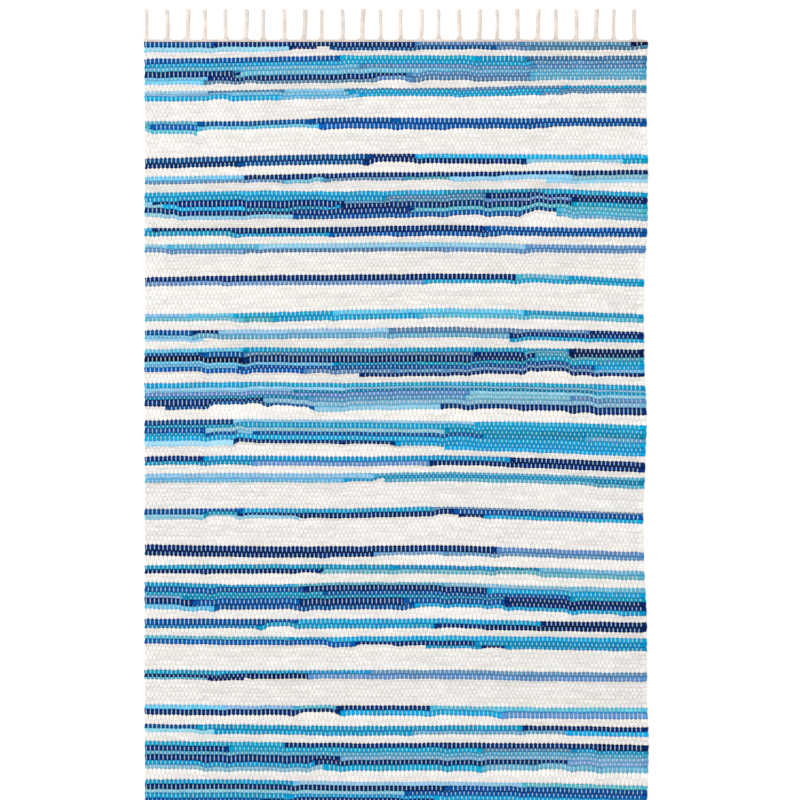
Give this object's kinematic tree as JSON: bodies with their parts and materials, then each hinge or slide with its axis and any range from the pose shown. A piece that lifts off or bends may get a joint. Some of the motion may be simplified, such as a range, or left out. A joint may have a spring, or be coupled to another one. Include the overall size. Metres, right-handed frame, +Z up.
{
  "type": "handwoven cotton rag rug",
  "caption": "Flat handwoven cotton rug of thick rag weft in ribs across it, with uneven selvedges, an ecru heading strip and a fringe of twisted tassels at each end.",
  "frame": {"origin": "on the floor, under the middle of the rug's bounding box", "axes": "+X across the rug along its ribs, +Y along its length towards the far fringe, +Z up out of the ribbed face"},
  "size_m": [0.914, 1.64, 0.007],
  "materials": {
    "dyed_rag_cotton": "matt rag cotton woven in white, navy, royal, sky, pale blue and turquoise stripes",
    "ecru_warp_cotton": "matt undyed cotton warp, twisted"
  },
  "bodies": {
    "root": {"rug_cloth": "dyed_rag_cotton", "fringe_far": "ecru_warp_cotton", "fringe_near": "ecru_warp_cotton"}
  },
  "joints": []
}
